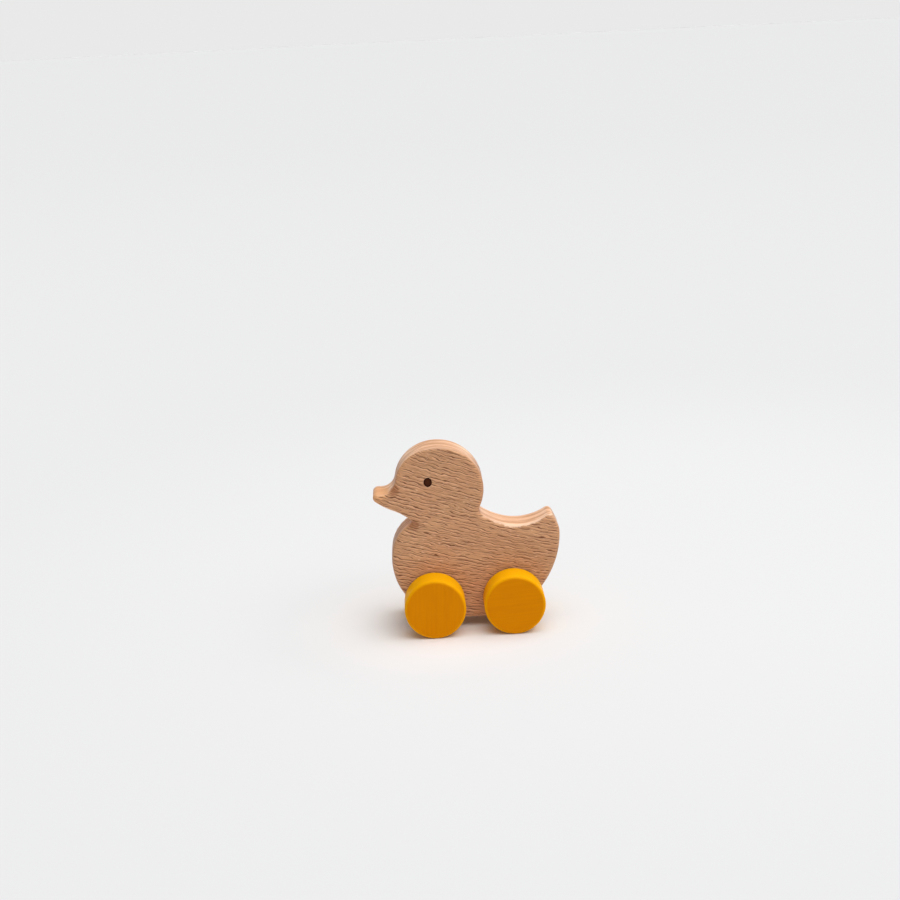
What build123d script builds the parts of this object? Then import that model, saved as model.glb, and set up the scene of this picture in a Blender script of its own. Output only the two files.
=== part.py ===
"""Wooden push-along duck on four wheels.

Millimetres. +Z is up, the beak points to -X and the duck's left side faces -Y. The origin is on
the floor, below the middle of the duck. The body is one flat board, sawn to a duck's outline and
rounded along its edges. Two dowel axles turn in bores across the board, and each axle has a
wheel glued to both ends. An oval plug is let into each side of the head as an eye.
"""

import os

from build123d import *

os.makedirs("parts", exist_ok=True)

# Board
board_thickness = 18.0
board_edge_radius = 2.6
underside_height = 5.5

# Wheels and axles
wheel_diameter = 35.0
wheel_width = 15.0
wheel_outer_edge_radius = 1.6
wheel_inner_edge_radius = 0.8
wheel_gap = 1.0
axle_diameter = 6.0
axle_running_clearance = 0.08
axle_seat_depth = 10.0
axle_end_gap = 0.5
axle_end_chamfer = 0.6
front_axle_x = -20.8
wheelbase = 45.4

# Eyes
eye_x = -21.3
eye_height = 88.6
eye_plug_width = 4.7
eye_plug_height = 5.6
eye_socket_depth = 3.0
eye_recess = 0.25
eye_edge_radius = 0.5

# Places that follow from the sizes above
half_board = board_thickness / 2
axle_height = wheel_diameter / 2
wheel_inner_y = half_board + wheel_gap
axle_positions = {"front": front_axle_x, "rear": front_axle_x + wheelbase}
sides = {"left": -1, "right": 1}

# Corners of the board's outline, seen from its left side, as (x, z)
bill_corner = (-56.7, 83.25)
brow = (-40.0, bill_corner[1])
nape = (6.3, 69.6)
tail_corner = (48.0, 66.9)
stern_corner = (52.67, 57.3)
keel_rear = (20.3, underside_height)
keel_front = (-13.0, underside_height)
throat = (-30.8, 65.2)

# Radii that round those corners off
corner_radii = {
    bill_corner: 2.8,
    brow: 8.0,
    nape: 3.0,
    tail_corner: 2.7,
    stern_corner: 11.5,
    keel_rear: 20.0,
    keel_front: 20.0,
    throat: 1.5,
}

# Points that the curves between the corners pass through
crown = (-25.2, 107.6)
back_of_head = (5.5, 98.2)
shoulder = (20.5, 61.9)
saddle_low_point = (30.5, 60.65)
hip = (46.9, 30.1)
belly = (-41.2, 27.7)
breast = (-43.2, 49.5)
cheek = (-42.5, 72.6)
cheek_slope = (0.92, -0.39)


def side_plane(x, y, z, side):
    """A plane parallel to the board, y outward from its middle, that faces outward."""
    return Plane(origin=(x, side * y, z), x_dir=(1, 0, 0), z_dir=(0, side, 0))


with BuildPart() as duck_body:
    with BuildSketch(Plane.XZ) as outline:
        with BuildLine():
            Line(bill_corner, brow)
            head = ThreePointArc(nape, back_of_head, crown)
            TangentArc(crown, brow, tangent=head % 1)
            saddle = ThreePointArc(tail_corner, saddle_low_point, shoulder)
            TangentArc(shoulder, nape, tangent=saddle % 1)
            Line(tail_corner, stern_corner)
            ThreePointArc(stern_corner, hip, keel_rear)
            Line(keel_rear, keel_front)
            chest = ThreePointArc(keel_front, belly, breast)
            TangentArc(breast, throat, tangent=chest % 1)
            TangentArc(cheek, throat, tangent=cheek_slope)
            TangentArc(cheek, bill_corner, tangent=-Vector(cheek_slope))
        make_face()
        for corner, radius in corner_radii.items():
            fillet(outline.vertices().sort_by_distance(corner)[0], radius)
    extrude(amount=half_board, both=True)
    fillet(duck_body.faces().filter_by(Axis.Y).edges(), board_edge_radius)
    with BuildSketch(Plane.XZ):
        with Locations(*[(x, axle_height) for x in axle_positions.values()]):
            Circle(axle_diameter / 2 + axle_running_clearance)
    extrude(amount=board_thickness, both=True, mode=Mode.SUBTRACT)
    for side in sides.values():
        with BuildSketch(side_plane(eye_x, half_board - eye_socket_depth, eye_height, side)):
            Ellipse(eye_plug_width / 2, eye_plug_height / 2)
        extrude(amount=2 * eye_socket_depth, mode=Mode.SUBTRACT)
duck_body.part.label = "duck_body"
export_step(duck_body.part, "parts/duck_body.step")

for side_name, side in sides.items():
    with BuildPart() as eye:
        with BuildSketch(side_plane(eye_x, half_board - eye_socket_depth, eye_height, side)):
            Ellipse(eye_plug_width / 2, eye_plug_height / 2)
        extrude(amount=eye_socket_depth - eye_recess)
        fillet(eye.faces().sort_by(Axis.Y)[::side][-1].edges(), eye_edge_radius)
    eye.part.label = f"{side_name}_eye"
    export_step(eye.part, f"parts/{side_name}_eye.step")

for axle_name, axle_x in axle_positions.items():
    with BuildPart() as axle:
        with BuildSketch(side_plane(axle_x, 0, axle_height, 1)):
            Circle(axle_diameter / 2)
        extrude(amount=wheel_inner_y + axle_seat_depth - axle_end_gap, both=True)
        chamfer(axle.faces().filter_by(Axis.Y).edges(), axle_end_chamfer)
    axle.part.label = f"{axle_name}_axle"
    export_step(axle.part, f"parts/{axle_name}_axle.step")

    for side_name, side in sides.items():
        with BuildPart() as wheel:
            with BuildSketch(side_plane(axle_x, wheel_inner_y, axle_height, side)):
                Circle(wheel_diameter / 2)
            extrude(amount=wheel_width)
            rims = wheel.edges().filter_by(GeomType.CIRCLE).sort_by(Axis.Y)[::side]
            fillet(rims[0], wheel_inner_edge_radius)
            fillet(rims[-1], wheel_outer_edge_radius)
            with BuildSketch(side_plane(axle_x, wheel_inner_y, axle_height, side)):
                Circle(axle_diameter / 2)
            extrude(amount=axle_seat_depth, mode=Mode.SUBTRACT)
        wheel.part.label = f"{axle_name}_{side_name}_wheel"
        export_step(wheel.part, f"parts/{axle_name}_{side_name}_wheel.step")
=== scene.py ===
"""Looks of the wooden duck: a sanded beech board on four painted wheels, in soft studio light.

Metres, in the frame of the CAD model: +Z is up, the bill points to -X, the left side faces -Y.
"""
import math

import bmesh
import bpy
import numpy as np
from mathutils import Matrix, Vector, noise
from mathutils.geometry import delaunay_2d_cdt


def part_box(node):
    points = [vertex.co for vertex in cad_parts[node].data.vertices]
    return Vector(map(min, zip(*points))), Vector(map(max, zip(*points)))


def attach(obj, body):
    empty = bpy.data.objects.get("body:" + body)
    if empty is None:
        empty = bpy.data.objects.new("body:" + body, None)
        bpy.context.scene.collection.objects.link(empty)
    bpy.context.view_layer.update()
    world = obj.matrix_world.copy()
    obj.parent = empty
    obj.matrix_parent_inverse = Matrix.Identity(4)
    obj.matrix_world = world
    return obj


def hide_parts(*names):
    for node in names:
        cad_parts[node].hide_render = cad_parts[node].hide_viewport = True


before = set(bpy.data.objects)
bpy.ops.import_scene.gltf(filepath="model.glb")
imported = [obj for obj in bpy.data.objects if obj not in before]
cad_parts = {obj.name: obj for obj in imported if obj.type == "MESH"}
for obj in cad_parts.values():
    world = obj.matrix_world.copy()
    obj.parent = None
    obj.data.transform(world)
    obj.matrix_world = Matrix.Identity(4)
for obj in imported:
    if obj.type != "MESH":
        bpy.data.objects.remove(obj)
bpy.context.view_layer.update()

MM = 0.001

# Shapes that the CAD model's boxes and loops don't give
EDGE_RADIUS = 2.6 * MM            # rounding of the board's edges, as in the CAD model
SOCKET_DEPTH = 3.0 * MM
BORE_RADIUS = 3.0 * MM            # of a wheel's blind bore
BORE_DEPTH = 10.0 * MM
INNER_RIM_RADIUS = 0.8 * MM       # rounding of a wheel's edge beside the board
OUTER_RIM_RADIUS = 1.7 * MM       # and of its edge on the outside
EYE_SLACK = 0.02 * MM             # gap between an eye plug and its socket
EYE_SHOULDER = 0.3 * MM           # how far the plug's rim lies below the CAD plug's face
EYE_DOME = 0.35 * MM              # height of its domed face over that rim
SANDING = 0.05 * MM               # how far hand sanding leaves a surface uneven
POINT_STEP = 0.55 * MM            # spacing of the points along the board's outline
HOLE_STEP = 0.3 * MM              # and round its bores and eye sockets
FACE_STEP = 1.0 * MM              # spacing of the points inside the board's flat sides

# Grain, and spots of painted shade and painted bounced light
GRAIN_SLOPE = 0.168               # fall of the board's grain towards the tail, at the floor
GRAIN_BEND = 2.0                  # how much steeper the grain is for each metre of height
GRAIN_SWAY = 2.4 * MM             # how far the grain lines wander
# painted shade, and warm painted bounced light, for the spots below
SPOT_PAINTED_SHADE = (0.36, 0.125, 0.048)
SPOT_PAINTED_BOUNCE = (0.80, 0.40, 0.175)
PAINTED_SPOT_FADE = 2.6 * MM               # over which a painted spot fades out
PAINTED_SPOT_RAGGED = 5.0 * MM             # how ragged its edge is
PAINTED_SHADE_AND_LIGHT_SPOTS = (                    # spots of painted shade in creases and of painted bounced light: point, reach, colour
    ((-0.0510, -0.004, 0.0835), 9.0 * MM, SPOT_PAINTED_BOUNCE),     # the bill: warm painted bounced light
    ((-0.0405, -0.009, 0.0850), 4.2 * MM, SPOT_PAINTED_SHADE),       # the brow, above the bill: painted shade in the crease
    ((-0.0305, -0.009, 0.0640), 4.2 * MM, SPOT_PAINTED_SHADE),       # the throat, below it: painted shade in the crease, partly its darker end grain
)

# Floor
FLOOR_RADIUS = 40.0
FLOOR_POOL = (0.14, 0.12, 0.0)         # the middle of the pool of light on the floor
FLOOR_PAINTED_LIGHT_MIDDLE = (-0.030, 0.004, 0.0)     # the middle of a painted patch of light under the object, which lightens its shadow


# ---------------------------------------------------------------- mesh helpers

def link_mesh(name, verts, faces, material, weights=None):
    """A mesh object with one material, smooth but for its sharp edges. weights are (name, values)."""
    mesh = bpy.data.meshes.new(name)
    mesh.from_pydata([tuple(v) for v in verts], [], faces)
    bm = bmesh.new()
    bm.from_mesh(mesh)
    bmesh.ops.recalc_face_normals(bm, faces=bm.faces)
    bm.to_mesh(mesh)
    bm.free()
    mesh.polygons.foreach_set("use_smooth", [True] * len(mesh.polygons))
    mesh.set_sharp_from_angle(angle=math.radians(40))
    if weights:
        mesh.attributes.new(weights[0], "FLOAT", "POINT").data.foreach_set("value", weights[1])
    mesh.materials.append(material)
    piece = bpy.data.objects.new(name, mesh)
    bpy.context.scene.collection.objects.link(piece)
    return piece


def sand(piece, amount):
    """Moves a piece's surface in and out a little, as hand sanding leaves it."""
    mesh = piece.data
    normals = [v.normal.copy() for v in mesh.vertices]
    for vert, normal in zip(mesh.vertices, normals):
        uneven = 0.7 * noise.noise(vert.co * 55.0) + 0.3 * noise.noise(vert.co * 170.0)
        vert.co += normal * amount * uneven
    mesh.update()


def ring_faces(first, second, count):
    """Quads between two closed rings of points, given the index of each ring's first point."""
    return [
        (first + i, first + (i + 1) % count, second + (i + 1) % count, second + i)
        for i in range(count)
    ]


def loops_at(node, y):
    """Closed loops of a CAD node's edges that lie in the plane of that y, as arrays of (x, z)."""
    bm = bmesh.new()
    bm.from_mesh(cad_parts[node].data)
    bmesh.ops.remove_doubles(bm, verts=bm.verts, dist=1e-6)
    flat = {v for v in bm.verts if abs(v.co.y - y) < 1e-5}
    rim = {}
    for edge in bm.edges:
        coplanar = [all(v in flat for v in face.verts) for face in edge.link_faces]
        if all(v in flat for v in edge.verts) and coplanar.count(True) < 2:
            for v in edge.verts:
                rim.setdefault(v, []).append(edge)
    loops = []
    seen = set()
    for start in rim:
        if start in seen:
            continue
        loop, vert, came_by = [], start, None
        while vert not in seen:
            seen.add(vert)
            loop.append((vert.co.x, vert.co.z))
            came_by = next(e for e in rim[vert] if e is not came_by)
            vert = came_by.other_vert(vert)
        loops.append(np.array(loop))
    bm.free()
    return sorted(loops, key=lambda points: -np.ptp(points[:, 0]))


def resample(loop, step):
    """Evenly spaced points on a smooth closed curve through a loop, and the curve's outward normals."""
    x, z = loop.T
    if np.sum(x * np.roll(z, -1) - np.roll(x, -1) * z) < 0:
        loop = loop[::-1]
    before, after, beyond = np.roll(loop, 1, 0), np.roll(loop, -1, 0), np.roll(loop, -2, 0)
    t = np.linspace(0, 1, 24, endpoint=False)[:, None, None]
    chord = np.linalg.norm(after - loop, axis=1)[:, None]
    last = np.linalg.norm(loop - before, axis=1)[:, None]
    following = np.linalg.norm(beyond - after, axis=1)[:, None]
    leave = ((loop - before) / last * chord + (after - loop) / chord * last) / (last + chord)
    arrive = (after - loop) / chord * following + (beyond - after) / following * chord
    arrive /= chord + following
    curve = (
        (2 * t**3 - 3 * t**2 + 1) * loop + (t**3 - 2 * t**2 + t) * leave * chord
        + (3 * t**2 - 2 * t**3) * after + (t**3 - t**2) * arrive * chord
    )
    curve = curve.transpose(1, 0, 2).reshape(-1, 2)
    lengths = np.r_[0, np.cumsum(np.linalg.norm(np.roll(curve, -1, 0) - curve, axis=1))]
    closed = np.vstack([curve, curve[:1]])
    count = int(round(lengths[-1] / step))
    at = np.arange(count) * lengths[-1] / count
    points = np.c_[np.interp(at, lengths, closed[:, 0]), np.interp(at, lengths, closed[:, 1])]
    along = np.roll(points, -1, 0) - np.roll(points, 1, 0)
    normals = np.c_[along[:, 1], -along[:, 0]] / np.linalg.norm(along, axis=1)[:, None]
    return points, normals


def inside(points, loop):
    """Which points lie inside a closed loop, by crossings of a ray."""
    x, z = points[:, None, 0], points[:, None, 1]
    x0, z0 = loop[:, 0], loop[:, 1]
    x1, z1 = np.roll(x0, -1), np.roll(z0, -1)
    crosses = (z0 > z) != (z1 > z)
    rise = np.where(z1 == z0, 1.0, z1 - z0)
    return (crosses & (x < x0 + (z - z0) / rise * (x1 - x0))).sum(1) % 2 == 1


def gap_to(points, loop):
    """Distance from each point to the nearest point of a loop."""
    return np.linalg.norm(points[:, None] - loop[None], axis=2).min(1)


# ---------------------------------------------------------------- materials

class Nodes:
    """A material under construction, with short ways to add and join shader nodes."""

    def __init__(self, name):
        self.material = bpy.data.materials.new(name)
        self.material.use_nodes = True
        self.tree = self.material.node_tree
        self.shader = self.tree.nodes["Principled BSDF"]

    def add(self, kind, inputs=None, **settings):
        node = self.tree.nodes.new(kind)
        for key, value in settings.items():
            setattr(node, key, value)
        for key, value in (inputs or {}).items():
            if isinstance(value, bpy.types.NodeSocket):
                self.tree.links.new(value, node.inputs[key])
            else:
                node.inputs[key].default_value = value
        return node

    def math(self, operation, *values):
        return self.add("ShaderNodeMath", dict(enumerate(values)), operation=operation).outputs[0]

    def mapped(self, vector, scale, rotation=(0, 0, 0)):
        mapping = self.add("ShaderNodeMapping", {"Vector": vector, "Scale": scale, "Rotation": rotation})
        return mapping.outputs[0]

    def noise(self, vector, detail, roughness=0.5):
        inputs = {"Vector": vector, "Scale": 1.0, "Detail": detail, "Roughness": roughness}
        return self.add("ShaderNodeTexNoise", inputs).outputs["Fac"]

    def distance(self, vector, point):
        inputs = {0: vector, 1: point}
        return self.add("ShaderNodeVectorMath", inputs, operation="DISTANCE").outputs["Value"]

    def shifted(self, vector, lift):
        """The vector with lift added to its third part."""
        up = self.add("ShaderNodeCombineXYZ", {"Z": lift}).outputs[0]
        return self.add("ShaderNodeVectorMath", {0: vector, 1: up}, operation="ADD").outputs[0]

    def dashes(self, grain, spacing, seed, thickness):
        """Rows of thin dashes along the grain, and a soft pale band under each, as two masks; the bands are
        partly the wood's tone and partly a painted highlight.

        Each row wanders by itself and is broken into lengths of a few millimetres with tapered ends.
        Spacing is in metres, and thickness is a share of it."""
        axes = self.add("ShaderNodeSeparateXYZ", {0: grain}).outputs
        phase = self.math("ADD", self.math("DIVIDE", axes["Z"], spacing), seed)
        row = self.math("MULTIPLY", self.math("FLOOR", phase), 5.37)    # rows far apart in the noise
        spot = self.add("ShaderNodeCombineXYZ", {"X": axes["X"], "Y": axes["Y"], "Z": row}).outputs[0]
        wander = self.noise(self.mapped(spot, (170, 30, 1)), detail=1.0)
        breaks = self.noise(self.mapped(spot, (165, 45, 1.31)), detail=1.0)
        presence = self.between(breaks, 0.33, 0.58)
        middle = self.math("MULTIPLY_ADD", wander, 0.7, 0.15)
        offset = self.math("SUBTRACT", self.math("FRACT", phase), middle)
        away = self.math("ABSOLUTE", offset)
        depth = self.math("MULTIPLY_ADD", presence, thickness, self.math("MULTIPLY", -1.0, away))
        below = self.math("ABSOLUTE", self.math("ADD", offset, 0.27))
        band = self.math("MULTIPLY", self.between(below, 0.05, 0.30, 1.0, 0.0), presence)
        return self.between(depth, -0.02, 0.05), band

    def between(self, value, low, high, to_low=0.0, to_high=1.0):
        """A smooth step of value, from to_low at low to to_high at high."""
        inputs = {"Value": value, "From Min": low, "From Max": high, "To Min": to_low, "To Max": to_high}
        return self.add("ShaderNodeMapRange", inputs, interpolation_type="SMOOTHSTEP").outputs[0]

    def mix(self, factor, low, high):
        """The colour low at factor 0 and high at factor 1."""
        node = self.add("ShaderNodeMix", data_type="RGBA")
        for socket, value in ((node.inputs[0], factor), (node.inputs[6], low), (node.inputs[7], high)):
            if isinstance(value, bpy.types.NodeSocket):
                self.tree.links.new(value, socket)
            else:
                socket.default_value = value if isinstance(value, float) else (*value, 1.0)
        return node.outputs[2]

    def finish(self, colour, roughness, height, depth, specular):
        """Joins colour, roughness and relief to the shader. depth is the relief's height in metres."""
        links = self.tree.links
        bump = self.add("ShaderNodeBump", {"Height": height, "Distance": depth, "Strength": 1.0})
        links.new(colour, self.shader.inputs["Base Color"])
        links.new(roughness, self.shader.inputs["Roughness"])
        links.new(bump.outputs[0], self.shader.inputs["Normal"])
        self.shader.inputs["Specular IOR Level"].default_value = specular
        return self.material


def board_grain(n, place):
    """Two sets of coordinates along the board's grain: its straight fall, and the same with its sway."""
    axes = n.add("ShaderNodeSeparateXYZ", {0: place}).outputs
    slope = n.math("MULTIPLY_ADD", axes["Z"], GRAIN_BEND, GRAIN_SLOPE)
    across = n.math("MULTIPLY_ADD", axes["X"], slope, axes["Z"])
    along = n.math("MULTIPLY_ADD", axes["Z"], -0.25, axes["X"])
    straight = n.add("ShaderNodeCombineXYZ", {"X": along, "Y": axes["Y"], "Z": across}).outputs[0]
    sway = n.noise(n.mapped(straight, (170, 20, 380)), detail=1.5)
    return straight, n.shifted(straight, n.math("MULTIPLY", n.math("SUBTRACT", sway, 0.5), GRAIN_SWAY))


def board_faces(n, ragged):
    """Masks for the board's flat sides, its end grain, its top and bottom, and where flecks show."""
    normal = n.add("ShaderNodeTexCoord").outputs["Normal"]
    facing = n.add("ShaderNodeSeparateXYZ", {0: normal}).outputs
    endways = n.math("ABSOLUTE", facing["X"])
    sideways = n.math("ABSOLUTE", facing["Y"])
    turned = n.math("MULTIPLY_ADD", endways, 0.72, n.math("MULTIPLY_ADD", ragged, 0.34, sideways))
    side = n.between(turned, 1.05, 1.15)
    end = n.between(endways, 0.62, 0.95)
    top = n.between(n.math("ABSOLUTE", facing["Z"]), 0.80, 0.98)
    on_side = n.between(side, 0.0, 1.0, 0.10, 1.0)
    flecked = n.math("MULTIPLY", on_side, n.between(sideways, 0.50, 0.92, 0.12, 1.0))
    return side, end, top, flecked


def side_wood(n, place, grain, fibres, lift):
    """Colour of the board's flat sides, without their dark dashes, with pale bands beside them that are
    partly wood tone and partly painted highlight.
    """
    bands = n.noise(n.mapped(grain, (12, 20, 130)), detail=3.0, roughness=0.55)
    blush = n.noise(n.mapped(place, (38, 38, 38)), detail=2.0)
    pale = n.mix(n.between(bands, 0.3, 0.7), (0.575, 0.302, 0.147), (0.69, 0.372, 0.187))
    warm = n.mix(n.between(blush, 0.35, 0.7, 0.0, 0.40), pale, (0.645, 0.298, 0.147))
    lined = n.mix(n.between(fibres, 0.40, 0.62, 0.0, 0.45), warm, (0.45, 0.21, 0.10))
    return n.mix(n.math("MULTIPLY", lift, 0.42), lined, (0.92, 0.55, 0.32))


def edge_wood(n, rings, top):
    """Colour of the board's rounded and sawn edges, with the year rings as fine lines. Both are lighter
    than the sides, partly the edge grain's tone and partly painted sheen, and the rounded ones lightest, a
    painted highlight.
    """
    rounded = n.mix(n.between(rings, 0.40, 0.60, 0.0, 0.75), (0.94, 0.64, 0.44), (0.60, 0.30, 0.16))
    sawn = n.mix(n.between(rings, 0.40, 0.58, 0.0, 0.75), (0.90, 0.55, 0.345), (0.54, 0.25, 0.12))
    return n.mix(top, rounded, sawn)


def end_wood(n, place, rings):
    """Colour of the end grain: darker rings, crossed by short rays."""
    rays = n.noise(n.mapped(place, (300, 500, 3200)), detail=1.0)
    ringed = n.mix(n.between(rings, 0.40, 0.60), (0.56, 0.275, 0.145), (0.38, 0.165, 0.078))
    return n.mix(n.between(rays, 0.48, 0.64, 0.0, 0.5), ringed, (0.24, 0.095, 0.042))


def paint_shade_and_light_spots(n, place, ragged, colour):
    """The colour with spots of painted shade and painted bounced light."""
    for spot, reach, spot_colour in PAINTED_SHADE_AND_LIGHT_SPOTS:
        away = n.math("MULTIPLY_ADD", ragged, PAINTED_SPOT_RAGGED, n.distance(place, spot))
        colour = n.mix(n.between(away, reach, reach + PAINTED_SPOT_FADE, 0.72, 0.0), colour, spot_colour)
    return colour


def beech():
    """Oiled flat-sawn beech: dark dashes of ray cells on the sides, fine ring lines on the sawn edges."""
    n = Nodes("beech")
    place = n.add("ShaderNodeTexCoord").outputs["Object"]
    straight, grain = board_grain(n, place)
    ragged = n.noise(n.mapped(grain, (420, 420, 1300)), detail=3.0)
    side, end, top, flecked = board_faces(n, ragged)

    long_dash, long_band = n.dashes(grain, 1.95 * MM, seed=0.0, thickness=0.13)
    short_dash, short_band = n.dashes(grain, 1.30 * MM, seed=40.3, thickness=0.125)
    dash = n.math("MAXIMUM", long_dash, n.math("MULTIPLY", short_dash, 0.75))
    fleck = n.math("MULTIPLY", dash, flecked)
    # pale bands beside the dashes: partly wood tone, partly painted highlight
    lift = n.math("MULTIPLY", n.math("MULTIPLY_ADD", short_band, 0.4, long_band), side)

    rings = n.noise(n.mapped(straight, (26, 430, 60)), detail=4.0, roughness=0.62)
    fibres = n.noise(n.mapped(grain, (110, 1800, 1500)), detail=3.0, roughness=0.65)
    body = n.mix(side, edge_wood(n, rings, top), side_wood(n, place, grain, fibres, lift))
    ended = n.mix(n.math("MULTIPLY", end, 0.65), body, end_wood(n, place, rings))
    # spots of painted shade in the creases and painted bounced light on the bill
    with_painted_spots = paint_shade_and_light_spots(n, place, ragged, ended)
    colour = n.mix(n.math("MULTIPLY", fleck, 0.92), with_painted_spots, (0.165, 0.052, 0.018))

    roughness = n.between(fibres, 0.2, 0.8, 0.46, 0.62)
    relief = n.math("SUBTRACT", n.math("MULTIPLY", rings, 0.35), fleck)
    return n.finish(colour, roughness, relief, depth=0.04 * MM, specular=0.35)


def wheel_paint(name, grain_angle):
    """Satin yellow paint over wood, whose grain runs at that angle to the horizon; painted paler and
    yellower on the tread, as a painted highlight.
    """
    n = Nodes(name)
    place = n.add("ShaderNodeTexCoord").outputs["Object"]
    grain = n.mapped(place, (1, 1, 1), (0, grain_angle, 0))
    streak = n.noise(n.mapped(grain, (35, 60, 1100)), detail=3.0, roughness=0.6)
    coat = n.noise(n.mapped(grain, (60, 90, 220)), detail=2.0)
    # the rim weight marks the tread, where the painted highlight goes
    rim = n.add("ShaderNodeAttribute", attribute_name="rim").outputs["Fac"]
    base = n.mix(n.between(streak, 0.3, 0.7), (0.682, 0.221, 0.0), (0.722, 0.244, 0.0))
    worn = n.mix(n.between(coat, 0.35, 0.65, 0.0, 0.35), base, (0.74, 0.255, 0.0))
    # painted highlight: the tread paler and yellower than the faces
    colour = n.mix(rim, worn, (0.90, 0.415, 0.001))
    roughness = n.between(coat, 0.3, 0.7, 0.42, 0.54)
    relief = n.math("ADD", n.math("MULTIPLY", streak, 0.6), n.math("MULTIPLY", coat, 0.4))
    return n.finish(colour, roughness, relief, depth=0.03 * MM, specular=0.03)


def dark_plug():
    """Dark-stained wood, a little paler towards the middle."""
    n = Nodes("dark_plug")
    place = n.add("ShaderNodeTexCoord").outputs["Object"]
    streak = n.noise(n.mapped(place, (500, 500, 1800)), detail=2.0)
    middle = n.add("ShaderNodeAttribute", attribute_name="middle").outputs["Fac"]
    base = n.mix(n.between(streak, 0.3, 0.7), (0.016, 0.0045, 0.0015), (0.035, 0.011, 0.004))
    colour = n.mix(n.math("MULTIPLY", middle, 0.85), base, (0.082, 0.021, 0.007))
    roughness = n.between(streak, 0.3, 0.7, 0.35, 0.5)
    return n.finish(colour, roughness, streak, depth=0.03 * MM, specular=0.05)


def dowel():
    """Bare birch dowel with straight grain along the axle."""
    n = Nodes("dowel")
    place = n.add("ShaderNodeTexCoord").outputs["Object"]
    streak = n.noise(n.mapped(place, (1800, 60, 1800)), detail=3.0)
    colour = n.mix(n.between(streak, 0.3, 0.7), (0.52, 0.33, 0.17), (0.70, 0.48, 0.28))
    roughness = n.between(streak, 0.3, 0.7, 0.55, 0.7)
    return n.finish(colour, roughness, streak, depth=0.03 * MM, specular=0.3)


def floor_paper():
    """Matt studio paper, with painted light: a lighter patch under the object that lightens its shadow, and
    a painted pool of light, darker far away.
    """
    n = Nodes("floor_paper")
    place = n.add("ShaderNodeTexCoord").outputs["Object"]
    away = n.distance(place, FLOOR_POOL)
    tooth = n.noise(n.mapped(place, (900, 900, 900)), detail=2.0)
    # painted light: paper lighter in a pool behind and right of the object, darker far away
    near = n.mix(n.between(away, 0.12, 0.55), (0.762, 0.764, 0.767), (0.725, 0.727, 0.73))
    wide = n.mix(n.between(away, 0.8, 4.0), near, (0.71, 0.712, 0.715))
    # painted light: a lighter patch under the object that lightens its shadow
    under = n.between(n.distance(place, FLOOR_PAINTED_LIGHT_MIDDLE), 0.030, 0.088)
    colour = n.mix(under, (0.842, 0.827, 0.818), wide)
    roughness = n.between(tooth, 0.0, 1.0, 0.85, 0.95)
    return n.finish(colour, roughness, tooth, depth=0.02 * MM, specular=0.05)


# ---------------------------------------------------------------- the board

def edge_section(half):
    """The board's edge from its left face to its right, as (y, inward distance from the outline)."""
    rounded = []
    for angle in np.radians(np.linspace(0, 90, 9)):
        y = -half + EDGE_RADIUS * (1 - math.cos(angle))
        rounded.append((y, EDGE_RADIUS * (1 - math.sin(angle))))
    straight = [(y, 0.0) for y in np.linspace(-half + EDGE_RADIUS, half - EDGE_RADIUS, 14)[1:-1]]
    return rounded + straight + [(-y, depth) for y, depth in reversed(rounded)]


def fill_side(border, rims):
    """Points added inside a flat side, and the triangles that fill it between its border and its holes."""
    x = np.arange(border[:, 0].min(), border[:, 0].max(), FACE_STEP)
    z = np.arange(border[:, 1].min(), border[:, 1].max(), FACE_STEP * 0.87)
    lattice = np.stack(np.meshgrid(x, z), axis=2)
    lattice[::2, :, 0] += FACE_STEP / 2
    lattice = lattice.reshape(-1, 2)
    keep = inside(lattice, border) & (gap_to(lattice, border) > 0.6 * FACE_STEP)
    for rim in rims:
        keep &= ~inside(lattice, rim) & (gap_to(lattice, rim) > 0.5 * FACE_STEP)
    added = lattice[keep]
    edges, start = [], 0
    for loop in (border, *rims):
        edges += [(start + i, start + (i + 1) % len(loop)) for i in range(len(loop))]
        start += len(loop)
    points = np.vstack([border, *rims, added])
    triangulation = delaunay_2d_cdt([Vector(p) for p in points], edges, [], 0, 1e-10)
    triangles, sources = triangulation[2:4]
    corners = [[sources[i][0] for i in triangle] for triangle in triangles]
    centres = np.array([points[face].mean(0) for face in corners])
    wanted = inside(centres, border)
    for rim in rims:
        wanted &= ~inside(centres, rim)
    return added, [face for face, use in zip(corners, wanted) if use]


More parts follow.
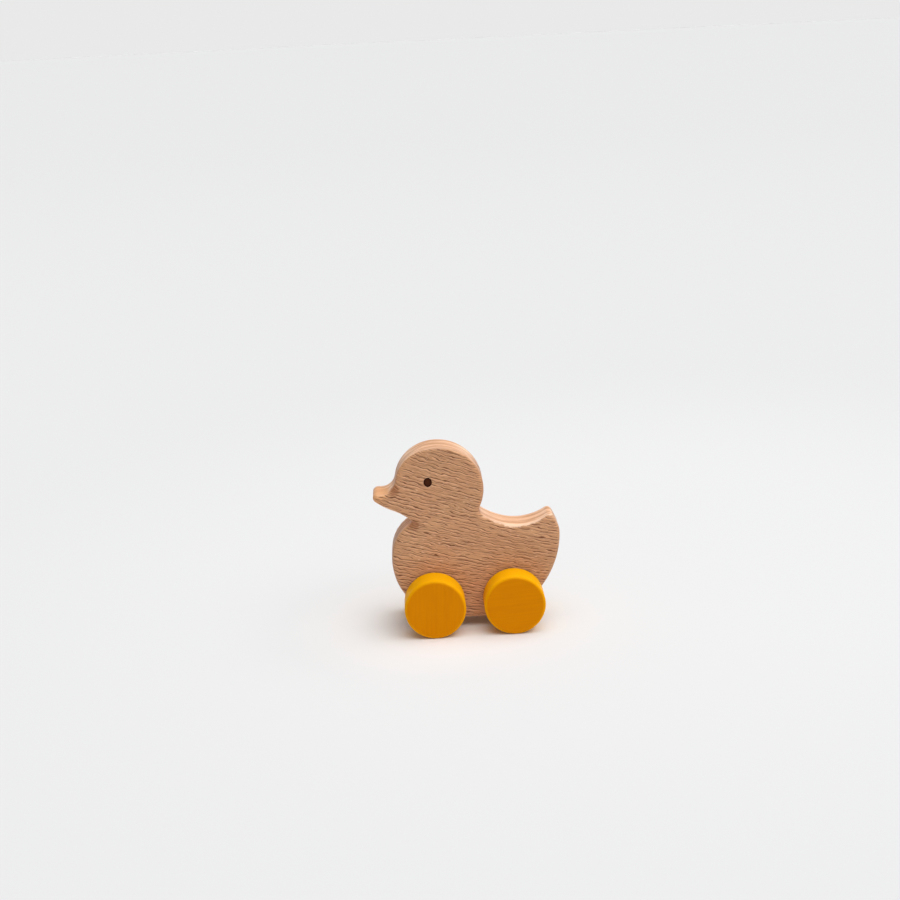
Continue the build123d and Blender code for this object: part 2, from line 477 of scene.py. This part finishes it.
def make_board(material):
    """The duck's body: rounded edges, flat sides, axle bores and eye sockets, all one closed mesh."""
    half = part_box("duck_body")[1].y
    outline, outward = resample(loops_at("duck_body", -half + EDGE_RADIUS)[0], POINT_STEP)
    holes = [resample(loop, HOLE_STEP)[0] for loop in loops_at("duck_body", -half)[1:]]
    verts, faces, starts = [], [], []
    for y, depth in edge_section(half):
        starts.append(len(verts))
        bite = 0.12 * EDGE_RADIUS * math.sin(math.pi * depth / EDGE_RADIUS)
        for (x, z), (nx, nz) in zip(outline, outward):
            inward = depth + bite * noise.noise(Vector((x, y * 0.2, z)) * 70.0)
            verts.append((x - nx * inward, y, z - nz * inward))
    for first, second in zip(starts, starts[1:]):
        faces += ring_faces(first, second, len(outline))

    necks = []
    for side, start in ((-1, starts[0]), (1, starts[-1])):
        border = np.array(verts[start:start + len(outline)])[:, [0, 2]]
        centres = [hole.mean(0) for hole in holes]
        rims = [centre + (hole - centre) * 1.06 for hole, centre in zip(holes, centres)]
        added, triangles = fill_side(border, rims)
        first_rim = len(verts)
        for x, z in np.vstack([*rims, added]):
            verts.append((x, side * half, z))
        index = np.r_[np.arange(start, start + len(outline)), np.arange(first_rim, len(verts))]
        faces += [tuple(int(index[i]) for i in face) for face in triangles]
        rim = first_rim
        for hole in holes:
            necks.append(len(verts))
            verts += [(x, side * (half - 0.2 * MM), z) for x, z in hole]
            faces += ring_faces(rim, necks[-1], len(hole))
            rim += len(hole)
    count = len(holes)
    for bore in range(count - 1):
        faces += ring_faces(necks[bore], necks[bore + count], len(holes[bore]))
    for side, neck in ((-1, necks[count - 1]), (1, necks[-1])):
        socket = holes[-1]
        floor = len(verts)
        verts += [(x, side * (half - SOCKET_DEPTH), z) for x, z in socket]
        faces += ring_faces(neck, floor, len(socket))
        faces.append(tuple(range(floor, floor + len(socket))))
    board = link_mesh("duck_board", verts, faces, material)
    sand(board, SANDING)
    return board


# ---------------------------------------------------------------- turned pieces

def turn(name, centre, side, profile, material, weight_name, stretch=1.0, segments=144):
    """A closed turned piece. profile is (radius, distance out from the board's middle, weight)."""
    verts, faces, weights, rings = [], [], [], []
    for radius, out, weight in profile:
        size = segments if radius > 0 else 1
        rings.append((len(verts), size))
        for angle in np.arange(size) * 2 * math.pi / size:
            x = centre.x + radius * math.cos(angle)
            z = centre.z + radius * stretch * math.sin(angle)
            verts.append((x, side * out, z))
            weights.append(weight)
    for (first, size), (second, next_size) in zip(rings, rings[1:]):
        if size == next_size:
            faces += ring_faces(first, second, size)
        else:
            tip, ring = (first, second) if size == 1 else (second, first)
            faces += [(tip, ring + i, ring + (i + 1) % segments) for i in range(segments)]
    return link_mesh(name, verts, faces, material, (weight_name, weights))


def rounded_corner(radius, out, corner, steps, outer):
    """Points of a quarter round at a wheel's edge, from tread to face if outer, or else face to tread."""
    points = []
    for angle in np.radians(np.linspace(0, 90, steps)):
        fall, rise = corner * (1 - math.cos(angle)), corner * (1 - math.sin(angle))
        if outer:
            points.append((radius - fall, out - rise, math.cos(angle)))
        else:
            points.append((radius - rise, out + fall, 1.0))
    return points


def make_wheel(node, material):
    """A turned wheel with a blind bore for its axle and a soft outer rim."""
    lo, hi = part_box(node)
    side = 1 if hi.y > 0 else -1
    near, far = sorted((abs(lo.y), abs(hi.y)))
    centre, radius = (lo + hi) / 2, (hi.x - lo.x) / 2
    seat = near + BORE_DEPTH
    inner = np.linspace(BORE_RADIUS, radius - INNER_RIM_RADIUS, 12)[:-1]
    tread = np.linspace(near + INNER_RIM_RADIUS, far - OUTER_RIM_RADIUS, 12)[1:-1]
    face = np.linspace(radius - OUTER_RIM_RADIUS, 0, 16)[1:]
    profile = [(0.0, seat, 0.0), (BORE_RADIUS, seat, 0.0)]
    profile += [(r, near, 0.0) for r in inner]
    # the weights mark the tread and its rounded edges, where the paint is painted paler as a highlight
    profile += rounded_corner(radius, near, INNER_RIM_RADIUS, 6, outer=False)
    profile += [(radius, y, 1.0) for y in tread]
    profile += rounded_corner(radius, far, OUTER_RIM_RADIUS, 10, outer=True)
    profile += [(r, far, 0.0) for r in face]
    wheel = turn(node + "_painted", centre, side, profile, material, "rim")
    sand(wheel, SANDING)
    return wheel


def make_eye(node, material):
    """An oval plug, sunk a little below the board's side, with a soft edge and a slightly domed face."""
    lo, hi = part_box(node)
    side = 1 if hi.y > 0 else -1
    back, out = sorted((abs(lo.y), abs(hi.y)))
    centre, half_width = (lo + hi) / 2, (hi.x - lo.x) / 2 - EYE_SLACK
    stretch = (hi.z - lo.z) / (hi.x - lo.x)
    profile = [(0.0, back, 0.0), (half_width, back, 0.0)]
    for k in np.linspace(0, 1, 22):
        reach = math.cos(k * math.pi / 2)
        rise = EYE_DOME * (1 - (1 - k) ** 3) - EYE_SHOULDER
        profile.append((half_width * reach if k < 1 else 0.0, out + rise, (1 - reach) ** 0.6))
    return turn(node + "_plug", centre, side, profile, material, "middle", stretch, segments=64)


# ---------------------------------------------------------------- the object

board = make_board(beech())
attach(board, "duck")
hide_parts("duck_body")

plug_material = dark_plug()
for node in ("left_eye", "right_eye"):
    eye = make_eye(node, plug_material)
    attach(eye, "duck")
    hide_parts(node)

grain_angles = {
    "front_left_wheel": 88,
    "front_right_wheel": 62,
    "rear_left_wheel": 4,
    "rear_right_wheel": -35,
}
for node, degrees in grain_angles.items():
    wheel = make_wheel(node, wheel_paint(node + "_paint", math.radians(degrees)))
    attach(wheel, node.split("_")[0] + "_wheelset")
    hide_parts(node)

dowel_material = dowel()
for node in ("front_axle", "rear_axle"):
    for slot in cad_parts[node].material_slots:
        slot.material = dowel_material


# ---------------------------------------------------------------- studio

def make_floor():
    """A wide round sheet of pale paper."""
    bm = bmesh.new()
    bmesh.ops.create_circle(bm, cap_ends=True, radius=FLOOR_RADIUS, segments=96)
    mesh = bpy.data.meshes.new("floor")
    bm.to_mesh(mesh)
    bm.free()
    mesh.materials.append(floor_paper())
    floor = bpy.data.objects.new("floor", mesh)
    bpy.context.scene.collection.objects.link(floor)


def make_world(horizon, around, overhead, towards):
    """A dim room with a large soft box overhead, in the direction towards, and a narrow bright horizon.

    The horizon is as bright as the far floor, so that the two join with no line between them."""
    world = bpy.data.worlds.new("studio")
    bpy.context.scene.world = world
    world.use_nodes = True
    tree = world.node_tree
    background = tree.nodes["Background"]
    place = tree.nodes.new("ShaderNodeTexCoord").outputs["Generated"]
    height = tree.nodes.new("ShaderNodeSeparateXYZ")
    nearness = tree.nodes.new("ShaderNodeVectorMath")
    nearness.operation = "DOT_PRODUCT"
    nearness.inputs[1].default_value = Vector(towards).normalized()
    tree.links.new(place, height.inputs[0])
    tree.links.new(place, nearness.inputs[0])

    def ramp(value, low, high, at_low, at_high):
        node = tree.nodes.new("ShaderNodeMapRange")
        node.interpolation_type = "SMOOTHSTEP"
        for key, number in (("From Min", low), ("From Max", high), ("To Min", at_low), ("To Max", at_high)):
            node.inputs[key].default_value = number
        tree.links.new(value, node.inputs["Value"])
        return node.outputs[0]

    room = ramp(height.outputs["Z"], 0.06, 0.24, horizon, around)
    soft_box = ramp(nearness.outputs["Value"], 0.66, 0.98, 0.0, overhead - around)
    total = tree.nodes.new("ShaderNodeMath")
    tree.links.new(room, total.inputs[0])
    tree.links.new(soft_box, total.inputs[1])
    tree.links.new(total.outputs[0], background.inputs["Strength"])
    background.inputs["Color"].default_value = (1.0, 1.0, 1.0, 1.0)


def make_camera(aim, distance, azimuth, elevation, roll, lens):
    """A camera that looks at aim from that distance; angles in degrees, roll clockwise in the picture."""
    a, e, r = (math.radians(angle) for angle in (azimuth, elevation, roll))
    back = Vector((math.sin(a) * math.cos(e), -math.cos(a) * math.cos(e), math.sin(e)))
    level = Vector((math.cos(a), math.sin(a), 0))
    above = back.cross(level)
    right = math.cos(r) * level + math.sin(r) * above
    up = math.cos(r) * above - math.sin(r) * level
    data = bpy.data.cameras.new("camera")
    data.lens = lens
    data.sensor_width = 36.0
    data.clip_start, data.clip_end = 0.05, 100.0
    camera = bpy.data.objects.new("camera", data)
    turned = Matrix((right, up, back)).transposed().to_4x4()
    camera.matrix_world = Matrix.Translation(aim + back * distance) @ turned
    bpy.context.scene.collection.objects.link(camera)
    bpy.context.scene.camera = camera


make_floor()
make_world(horizon=0.815, around=0.22, overhead=3.32, towards=(0.32, -0.12, 0.94))
aim_point = Vector((-7.5, 3.9, 103.3)) * MM
make_camera(aim_point, 0.8556, azimuth=-1.426, elevation=15.784, roll=-2.79, lens=60.0)
bpy.context.scene.view_settings.view_transform = "Standard"
